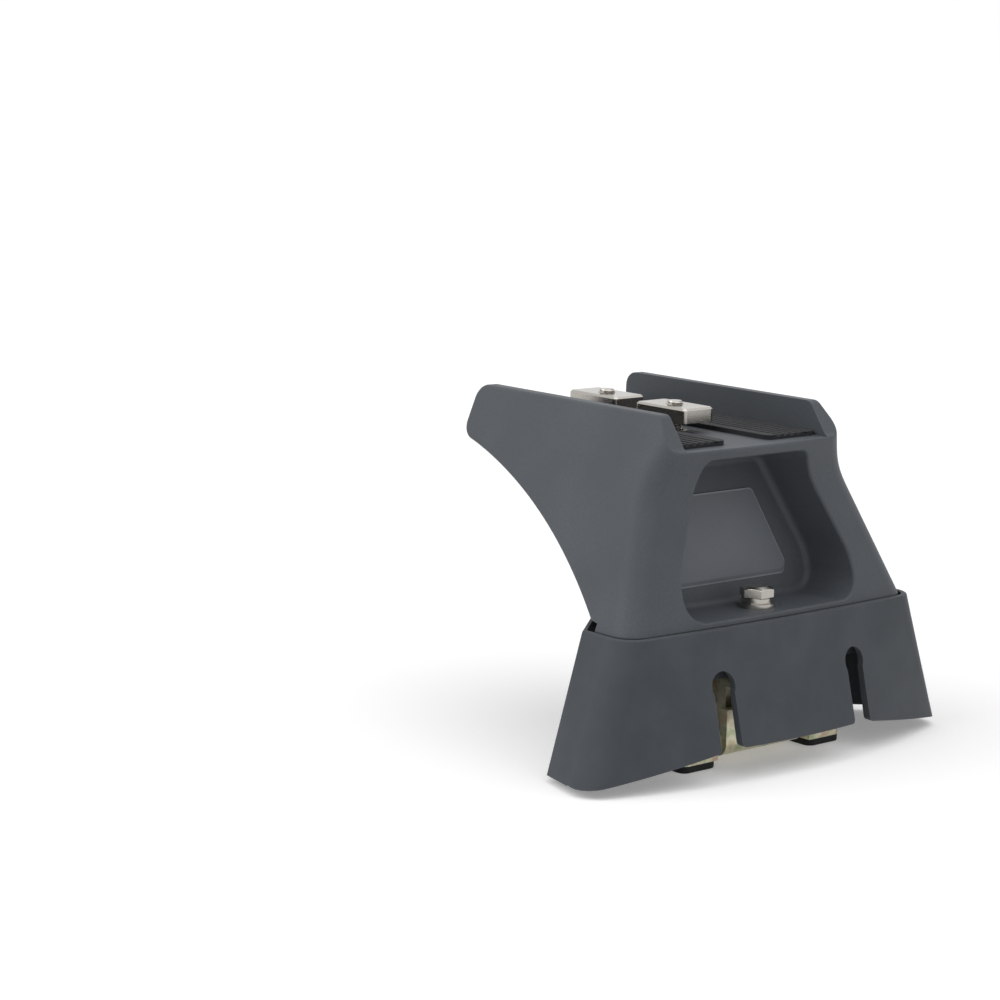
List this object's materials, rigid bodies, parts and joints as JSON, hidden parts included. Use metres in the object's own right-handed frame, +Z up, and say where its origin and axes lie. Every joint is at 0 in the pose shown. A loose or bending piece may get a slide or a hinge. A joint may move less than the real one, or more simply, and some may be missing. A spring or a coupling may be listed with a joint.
{
  "type": "roof bar foot",
  "caption": "Roof bar foot: a ribbed charcoal leg with a bar saddle and a pocketed clamp bolt, standing in a flared rubber skirt over a folded zinc-plated bracket on rubber pads.",
  "frame": {"origin": "on the clamp bolt's axis, in the plane of the base pads' underside, midway between the two outer roof holes", "axes": "+X outboard to the bar's end, +Y along the vehicle, +Z up to the bar"},
  "size_m": [0.1253, 0.164, 0.1145],
  "materials": {
    "leg_nylon": "fine moulded grain",
    "badge_nylon": "satin",
    "skirt_rubber": "matt moulded rubber",
    "zinc_steel": "iridescent yellow zinc passivate",
    "fastener_steel": "plain stainless",
    "pad_rubber": "matt"
  },
  "bodies": {
    "leg": {"leg_body": "leg_nylon", "badge_plate": "badge_nylon", "skirt": "skirt_rubber", "base_bracket": "zinc_steel", "nut_bridge": "zinc_steel", "base_pad_front": "pad_rubber", "base_pad_rear": "pad_rubber", "saddle_liner_front": "pad_rubber", "saddle_liner_rear": "pad_rubber", "clamp_spring_washer": "fastener_steel", "clamp_flat_washer": "fastener_steel", "clamp_sleeve": "fastener_steel", "clamp_nut": "fastener_steel", "bar_spring_washer_outer": "fastener_steel", "bar_flat_washer_outer": "fastener_steel", "bar_sleeve_outer": "fastener_steel", "channel_nut_outer": "fastener_steel", "bar_spring_washer_inner": "fastener_steel", "bar_flat_washer_inner": "fastener_steel", "bar_sleeve_inner": "fastener_steel", "channel_nut_inner": "fastener_steel"},
    "clamp_bolt": {"clamp_bolt": "fastener_steel"},
    "bar_bolt_outer": {"bar_bolt_outer": "fastener_steel"},
    "bar_bolt_inner": {"bar_bolt_inner": "fastener_steel"}
  },
  "joints": [
    {"name": "clamp_bolt_turn", "type": "hinge", "parent": "leg", "child": "clamp_bolt", "pos_m": [0, 0, 0.053], "axis": [0, 0, 1], "continuous": true},
    {"name": "bar_bolt_outer_turn", "type": "hinge", "parent": "leg", "child": "bar_bolt_outer", "pos_m": [-0.042, 0, 0.0951], "axis": [0, 0, 1], "continuous": true},
    {"name": "bar_bolt_inner_turn", "type": "hinge", "parent": "leg", "child": "bar_bolt_inner", "pos_m": [-0.076, 0, 0.0951], "axis": [0, 0, 1], "continuous": true}
  ]
}
